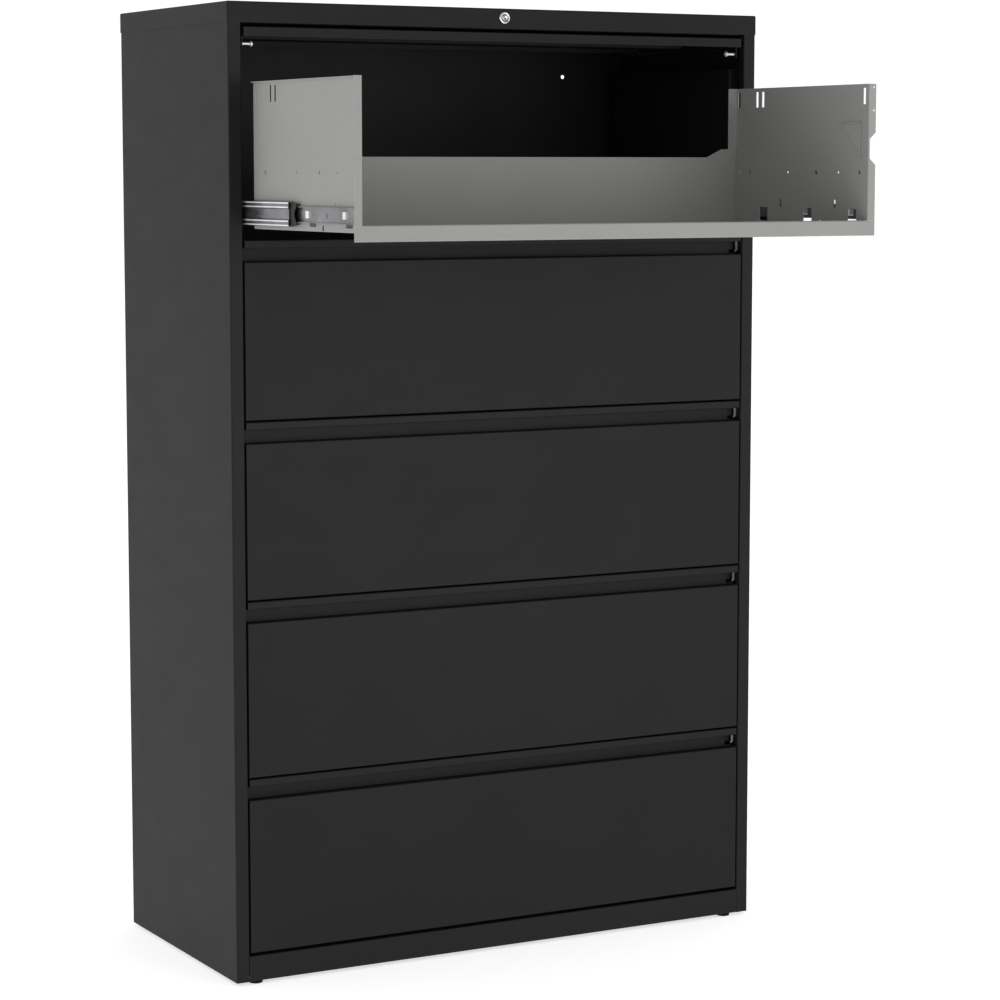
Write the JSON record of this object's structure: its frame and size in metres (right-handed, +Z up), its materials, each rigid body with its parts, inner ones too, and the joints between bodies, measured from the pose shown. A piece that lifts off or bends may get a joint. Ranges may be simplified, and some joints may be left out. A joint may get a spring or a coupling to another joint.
{
  "type": "lateral filing cabinet",
  "caption": "Tall steel lateral filing cabinet with full-width pull-out drawers, a roll-out binder shelf behind a receding door on top, a cam lock and levelling feet.",
  "frame": {"origin": "on the floor, under the middle of the whole object at rest: shelf rolled out, drawers closed, door stowed", "axes": "+Z up, +X to the right when facing the front, the front faces -Y"},
  "size_m": [1.0692, 0.9152, 1.7083],
  "materials": {
    "charcoal_paint": "fine-textured satin powder coat",
    "grey_paint": "satin enamel",
    "zinc": "dull zinc plate",
    "bright_zinc": "bright zinc plate",
    "chrome": "polished",
    "black_plastic": "moulded",
    "nylon": "moulded"
  },
  "bodies": {
    "cabinet": {"side_panel_right": "charcoal_paint", "side_panel_left": "charcoal_paint", "back_panel": "charcoal_paint", "top_cap": "charcoal_paint", "header_channel": "charcoal_paint", "base_plinth": "charcoal_paint", "base_pan": "charcoal_paint", "levelling_glides": "black_plastic", "inner_liner_right": "charcoal_paint", "inner_liner_left": "charcoal_paint", "cross_rails": "charcoal_paint", "case_screws": "zinc", "slide_rails": "zinc", "door_guide_rails": "zinc", "lock_barrel": "chrome"},
    "drawer_1": {"drawer_1_front": "charcoal_paint", "drawer_1_sides": "charcoal_paint", "drawer_1_bottom": "charcoal_paint", "drawer_1_back": "charcoal_paint", "drawer_1_hang_rails": "zinc", "drawer_1_slide_inners": "zinc"},
    "drawer_1_slides": {"drawer_1_slide_mids": "zinc"},
    "drawer_2": {"drawer_2_front": "charcoal_paint", "drawer_2_sides": "charcoal_paint", "drawer_2_bottom": "charcoal_paint", "drawer_2_back": "charcoal_paint", "drawer_2_hang_rails": "zinc", "drawer_2_slide_inners": "zinc"},
    "drawer_2_slides": {"drawer_2_slide_mids": "zinc"},
    "drawer_3": {"drawer_3_front": "charcoal_paint", "drawer_3_sides": "charcoal_paint", "drawer_3_bottom": "charcoal_paint", "drawer_3_back": "charcoal_paint", "drawer_3_hang_rails": "zinc", "drawer_3_slide_inners": "zinc"},
    "drawer_3_slides": {"drawer_3_slide_mids": "zinc"},
    "drawer_4": {"drawer_4_front": "charcoal_paint", "drawer_4_sides": "charcoal_paint", "drawer_4_bottom": "charcoal_paint", "drawer_4_back": "charcoal_paint", "drawer_4_hang_rails": "zinc", "drawer_4_slide_inners": "zinc"},
    "drawer_4_slides": {"drawer_4_slide_mids": "zinc"},
    "shelf": {"shelf_tray": "grey_paint", "shelf_side_right": "grey_paint", "shelf_side_left": "grey_paint", "shelf_back": "grey_paint", "shelf_slide_inners": "zinc"},
    "shelf_slides": {"shelf_slide_mids": "zinc"},
    "shelf_retainers": {"shelf_ball_retainers": "black_plastic"},
    "door_carriage": {"door_carriage": "zinc", "door_rollers": "nylon"},
    "door": {"door_panel": "charcoal_paint", "door_stiffener": "charcoal_paint", "door_brackets": "charcoal_paint", "door_pins": "bright_zinc"},
    "lock_plug": {"lock_plug": "chrome", "lock_cam": "zinc"},
    "lock_bar": {"lock_bar": "bright_zinc", "lock_crossbar": "bright_zinc"}
  },
  "joints": [
    {"name": "drawer_1_travel", "type": "slide", "parent": "cabinet", "child": "drawer_1", "axis": [0, -1, 0], "range_m": [0, 0.41]},
    {"name": "drawer_1_slides_travel", "type": "slide", "parent": "cabinet", "child": "drawer_1_slides", "axis": [0, -1, 0], "range_m": [0, 0.205]},
    {"name": "drawer_2_travel", "type": "slide", "parent": "cabinet", "child": "drawer_2", "axis": [0, -1, 0], "range_m": [0, 0.41]},
    {"name": "drawer_2_slides_travel", "type": "slide", "parent": "cabinet", "child": "drawer_2_slides", "axis": [0, -1, 0], "range_m": [0, 0.205]},
    {"name": "drawer_3_travel", "type": "slide", "parent": "cabinet", "child": "drawer_3", "axis": [0, -1, 0], "range_m": [0, 0.41]},
    {"name": "drawer_3_slides_travel", "type": "slide", "parent": "cabinet", "child": "drawer_3_slides", "axis": [0, -1, 0], "range_m": [0, 0.205]},
    {"name": "drawer_4_travel", "type": "slide", "parent": "cabinet", "child": "drawer_4", "axis": [0, -1, 0], "range_m": [0, 0.41]},
    {"name": "drawer_4_slides_travel", "type": "slide", "parent": "cabinet", "child": "drawer_4_slides", "axis": [0, -1, 0], "range_m": [0, 0.205]},
    {"name": "shelf_travel", "type": "slide", "parent": "cabinet", "child": "shelf", "axis": [0, 1, 0], "range_m": [0, 0.463]},
    {"name": "shelf_slides_travel", "type": "slide", "parent": "cabinet", "child": "shelf_slides", "axis": [0, 1, 0], "range_m": [0, 0.2315]},
    {"name": "shelf_retainers_travel", "type": "slide", "parent": "cabinet", "child": "shelf_retainers", "axis": [0, 1, 0], "range_m": [0, 0.34725]},
    {"name": "door_travel", "type": "slide", "parent": "cabinet", "child": "door_carriage", "axis": [0, -1, 0], "range_m": [0, 0.3419]},
    {"name": "door_hinge", "type": "hinge", "parent": "door_carriage", "child": "door", "pos_m": [0, 0.3181, 1.6581], "axis": [1, 0, 0], "range_deg": [0, 50]},
    {"name": "lock_turn", "type": "hinge", "parent": "cabinet", "child": "lock_plug", "pos_m": [0, -0.0326, 1.6915], "axis": [0, -1, 0], "range_deg": [0, 90]},
    {"name": "lock_bar_lift", "type": "slide", "parent": "cabinet", "child": "lock_bar", "axis": [0, 0, 1], "range_m": [0, 0.012]}
  ],
  "couplings": [
    {"joint": "drawer_1_slides_travel", "follows": "drawer_1_travel", "ratio": 0.5},
    {"joint": "drawer_2_slides_travel", "follows": "drawer_2_travel", "ratio": 0.5},
    {"joint": "drawer_3_slides_travel", "follows": "drawer_3_travel", "ratio": 0.5},
    {"joint": "drawer_4_slides_travel", "follows": "drawer_4_travel", "ratio": 0.5},
    {"joint": "shelf_slides_travel", "follows": "shelf_travel", "ratio": 0.5},
    {"joint": "shelf_retainers_travel", "follows": "shelf_travel", "ratio": 0.75},
    {"joint": "lock_turn", "follows": "lock_bar_lift", "rad_per_m": 130.8}
  ]
}
